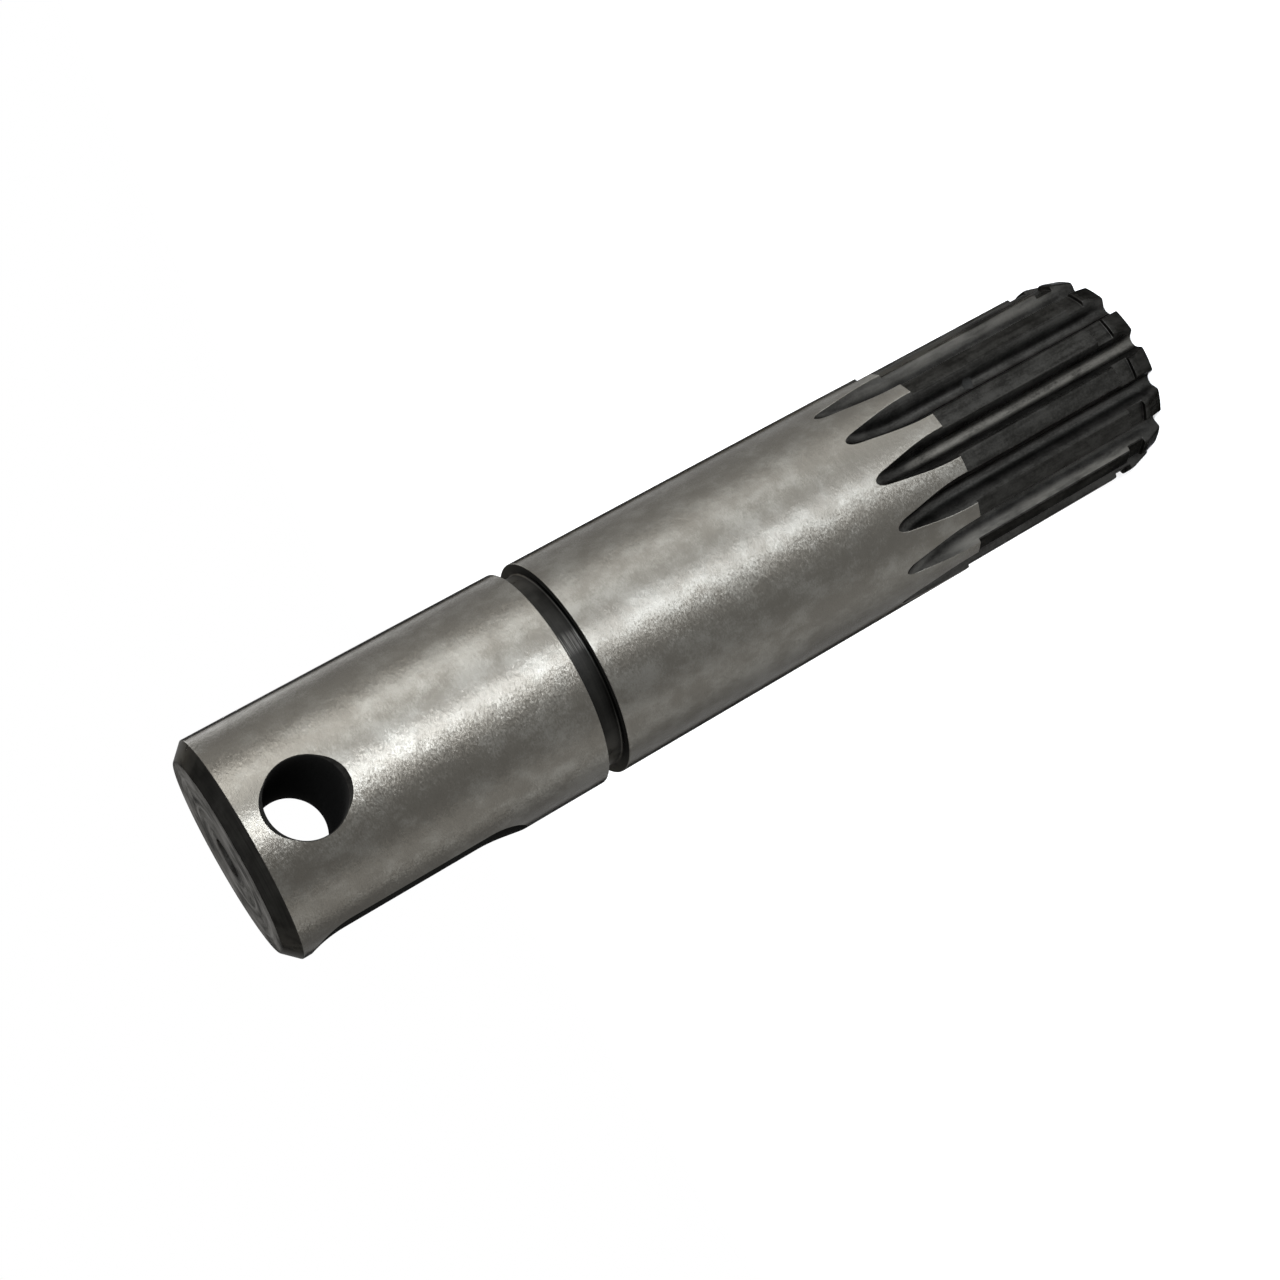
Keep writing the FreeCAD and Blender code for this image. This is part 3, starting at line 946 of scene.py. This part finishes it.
def nickCutter():
    # the section curve at the nick and a hair further on gives the way out of the flank
    x, y = spaceLine(np.array([nick["along"], nick["along"] + 0.02]), nick["height"])
    slope = np.array([x[1] - x[0], y[1] - y[0]])
    out = np.array([slope[1], -slope[0]]) / np.linalg.norm(slope)
    turn = math.radians(shaft["firstSpaceAngle"] + nick["space"] * 360.0 / shaft["toothCount"])
    place = np.array([x[0], y[0]]) + out * nick["lift"]
    mesh = bmesh.new()
    bmesh.ops.create_icosphere(mesh, subdivisions=nick["roundness"], radius=nick["radius"])
    for vertex in mesh.verts:
        vertex.co.z *= nick["stretch"]
        vertex.co.x += nick["wobble"] * math.sin(nick["wobbleTurns"] * vertex.co.z)
    bmesh.ops.translate(mesh, verts=mesh.verts, vec=(
        place[0] * math.cos(turn) - place[1] * math.sin(turn),
        place[0] * math.sin(turn) + place[1] * math.cos(turn), nick["height"]))
    # the inside of the nick takes the dull black, painted shade
    for face in mesh.faces:
        face.material_index = finishes["bore"]
    return mesh


def cutFrom(piece, cutter):
    change = piece.modifiers.new("cut", "BOOLEAN")
    change.operation = "DIFFERENCE"
    change.solver = "EXACT"
    change.object = cutter
    applyChange(piece, change)
    bpy.data.objects.remove(cutter)


def cleanMesh(piece):
    mesh = bmesh.new()
    mesh.from_mesh(piece.data)
    join, sliver = joining["whole"]
    bmesh.ops.remove_doubles(mesh, verts=mesh.verts, dist=join)
    bmesh.ops.dissolve_degenerate(mesh, edges=mesh.edges, dist=sliver)
    bmesh.ops.triangulate(mesh, faces=[face for face in mesh.faces if len(face.verts) > 4])
    loose = [edge for edge in mesh.edges if not edge.is_manifold]
    print(piece.name, "faces", len(mesh.faces), "open edges", len(loose))
    mesh.to_mesh(piece.data)
    mesh.free()


# where an edge stays sharp, and what counts as a flat face, an upright one and a turned one
shading = {
    "sharpAngle": 40.0,
    "flat": 0.99999,
    "upright": 0.02,
    "radiusSpread": 0.004,
    "leastRadius": 15.0,
}


def smoothNormals(piece):
    # weighted normals at the edges, exact ones on every turned cylinder and flat face
    piece.data.shade_smooth()
    piece.data.set_sharp_from_angle(angle=math.radians(shading["sharpAngle"]))
    change = piece.modifiers.new("weights", "WEIGHTED_NORMAL")
    change.keep_sharp = True
    change.weight = 100
    applyChange(piece, change)
    data = piece.data
    normals = np.zeros(len(data.loops) * 3)
    data.corner_normals.foreach_get("vector", normals)
    normals = normals.reshape(-1, 3)
    places = np.zeros(len(data.vertices) * 3)
    data.vertices.foreach_get("co", places)
    places = places.reshape(-1, 3)
    out = np.hypot(places[:, 0], places[:, 1])
    for face in data.polygons:
        if abs(face.normal.z) > shading["flat"] or face.normal.x < -shading["flat"]:
            # end faces and the floor of the keyway stay flat up to their edges
            for loop in face.loop_indices:
                normals[loop] = face.normal
            continue
        radii = out[list(face.vertices)]
        turned = radii.max() - radii.min() <= shading["radiusSpread"]
        outer = radii.max() >= shading["leastRadius"]
        if turned and outer and abs(face.normal.z) <= shading["upright"]:
            for loop in face.loop_indices:
                vertex = data.loops[loop].vertex_index
                x, y = places[vertex, :2] / out[vertex]
                normals[loop] = (x, y, 0.0)
    data.normals_split_custom_set([tuple(normal) for normal in normals])


splinedShaft = meshObject("splinedShaft", buildSlice())
print("one slice made:", len(splinedShaft.data.polygons), "faces")
repeatSlice(splinedShaft)
print("turned body and teeth made:", len(splinedShaft.data.polygons), "faces")
crossHoleCutter = closedLoops(crossHoleLoops(), crossHole["bands"])
cutFrom(splinedShaft, meshObject("crossHole", crossHoleCutter))
print("cross hole cut")
keywayCutter = closedLoops(keywayLoops(), keyway["bands"])
cutFrom(splinedShaft, meshObject("keyway", keywayCutter))
print("keyway cut")
cutFrom(splinedShaft, meshObject("nick", nickCutter()))
print("nick cut")
cleanMesh(splinedShaft)
smoothNormals(splinedShaft)
splinedShaft.data.transform(Matrix.Scale(toMetres, 4))
splinedShaft.data.name = "splinedShaft"
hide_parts("splined_shaft")
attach(splinedShaft, "root")
splinedShaft.data.calc_loop_triangles()
print("shaft finished:", len(splinedShaft.data.loop_triangles), "triangles")


# Floor, light and camera

floorLook = {
    "colour": (0.86, 0.86, 0.86, 1.0),
    "glow": 0.2,
    "white": (1.0, 1.0, 1.0, 1.0),
    "fadeRange": (0.25, 0.7),
    "reach": 4.0,
    "drop": -0.0002,
}


def makeFloor():
    # pale floor that keeps the shadow near the shaft and runs out to plain white
    material, tree = newMaterial("paleFloor")
    white = floorLook["white"]
    diffuse = addNode(tree, "ShaderNodeBsdfDiffuse", None, {"Color": floorLook["colour"]})
    glow = addNode(tree, "ShaderNodeEmission", None,
                   {"Color": white, "Strength": floorLook["glow"]})
    both = addNode(tree, "ShaderNodeAddShader")
    tree.links.new(diffuse.outputs[0], both.inputs[0])
    tree.links.new(glow.outputs[0], both.inputs[1])
    far = addNode(tree, "ShaderNodeEmission", None, {"Color": white, "Strength": 1.0})
    place = addNode(tree, "ShaderNodeTexCoord")
    away = addNode(tree, "ShaderNodeVectorMath", {"operation": "LENGTH"})
    tree.links.new(place.outputs["Object"], away.inputs[0])
    blend = addNode(tree, "ShaderNodeMixShader")
    tree.links.new(rampNode(tree, away.outputs["Value"], *floorLook["fadeRange"]), blend.inputs[0])
    tree.links.new(both.outputs[0], blend.inputs[1])
    tree.links.new(far.outputs[0], blend.inputs[2])
    output = addNode(tree, "ShaderNodeOutputMaterial")
    tree.links.new(blend.outputs[0], output.inputs["Surface"])
    reach = floorLook["reach"]
    corners = [(x * reach, y * reach, floorLook["drop"])
               for x, y in ((-1, -1), (1, -1), (1, 1), (-1, 1))]
    data = bpy.data.meshes.new("floor")
    data.from_pydata(corners, [], [(0, 1, 2, 3)])
    data.materials.append(material)
    floor = bpy.data.objects.new("floor", data)
    bpy.context.collection.objects.link(floor)


# strength of the world for soft light, and what a look or a reflection adds to reach plain white
worldLook = {"strength": 0.80, "seenShare": 0.20}


def makeWorld():
    world = bpy.data.worlds.new("studio")
    bpy.context.scene.world = world
    world.use_nodes = True
    tree = world.node_tree
    tree.nodes.clear()
    path = addNode(tree, "ShaderNodeLightPath")
    reflected = mathNode(tree, "MAXIMUM", path.outputs["Is Glossy Ray"],
                         path.outputs["Is Transmission Ray"])
    seen = mathNode(tree, "MAXIMUM", path.outputs["Is Camera Ray"], reflected)
    strength = weightedSum(tree, (seen,), (worldLook["seenShare"],), worldLook["strength"])
    background = addNode(tree, "ShaderNodeBackground", None, {"Color": (1.0, 1.0, 1.0, 1.0)})
    tree.links.new(strength, background.inputs["Strength"])
    output = addNode(tree, "ShaderNodeOutputWorld")
    tree.links.new(background.outputs[0], output.inputs["Surface"])


# every lamp stands upright at one distance and height, facing the shaft's axis
lampStand = {"distance": 0.9, "height": 0.28, "tall": 0.5}

# name, angle round the shaft, width, power, colour
lamps = [
    ("rearPanel", 45.7, 0.50, 3.6, (1.0, 1.0, 1.0)),
    ("upperPanel", 3.7, 0.50, 2.1, (1.0, 1.0, 1.0)),
    ("sidePanel", -24.4, 0.28, 3.6, (1.0, 1.0, 1.0)),
    ("sideStrip", -42.0, 0.40, 12.2, (0.96, 0.98, 1.0)),
    ("frontPanel", -68.0, 0.32, 6.0, (0.94, 0.97, 1.0)),
    ("frontStrip", -86.4, 0.18, 23.6, (0.88, 0.93, 1.0)),
    ("lowPanel", -98.4, 0.28, 4.2, (1.0, 1.0, 1.0)),
    ("fillPanel", 179.6, 0.60, 3.4, (1.0, 1.0, 1.0)),
]


def makeLamps():
    reach = lampStand["distance"]
    for name, angle, width, power, colour in lamps:
        data = bpy.data.lights.new(name, "AREA")
        data.shape = "RECTANGLE"
        data.size = width
        data.size_y = lampStand["tall"]
        data.energy = power
        data.color = colour
        piece = bpy.data.objects.new(name, data)
        turn = math.radians(angle)
        piece.location = (reach * math.cos(turn), reach * math.sin(turn), lampStand["height"])
        piece.rotation_euler = (math.radians(90.0), 0.0, turn + math.radians(90.0))
        bpy.context.collection.objects.link(piece)


# at the photograph's viewing angle: place, then the directions of the picture's right, its top
# and the way back out of it
camera = {
    "lens": 56.8707,
    "sensor": 36.0,
    "clip": (0.01, 20.0),
    "place": (-0.0363495, -0.3266358, 0.2159595),
    "right": (-0.517987, -0.227841, -0.824487),
    "up": (0.849678, -0.248238, -0.465215),
    "back": (-0.098673, -0.941524, 0.322175),
}


def makeCamera():
    data = bpy.data.cameras.new("photoCamera")
    data.lens = camera["lens"]
    data.sensor_width = camera["sensor"]
    data.sensor_fit = "HORIZONTAL"
    data.clip_start, data.clip_end = camera["clip"]
    piece = bpy.data.objects.new("photoCamera", data)
    bpy.context.collection.objects.link(piece)
    columns = [camera["right"], camera["up"], camera["back"]]
    turn = Matrix([[column[row] for column in columns] for row in range(3)]).to_4x4()
    piece.matrix_world = Matrix.Translation(camera["place"]) @ turn
    bpy.context.scene.camera = piece


makeFloor()
makeWorld()
makeLamps()
makeCamera()
bpy.context.scene.view_settings.view_transform = "Standard"
print("floor, world, lamps and camera made")

bpy.context.view_layer.update()
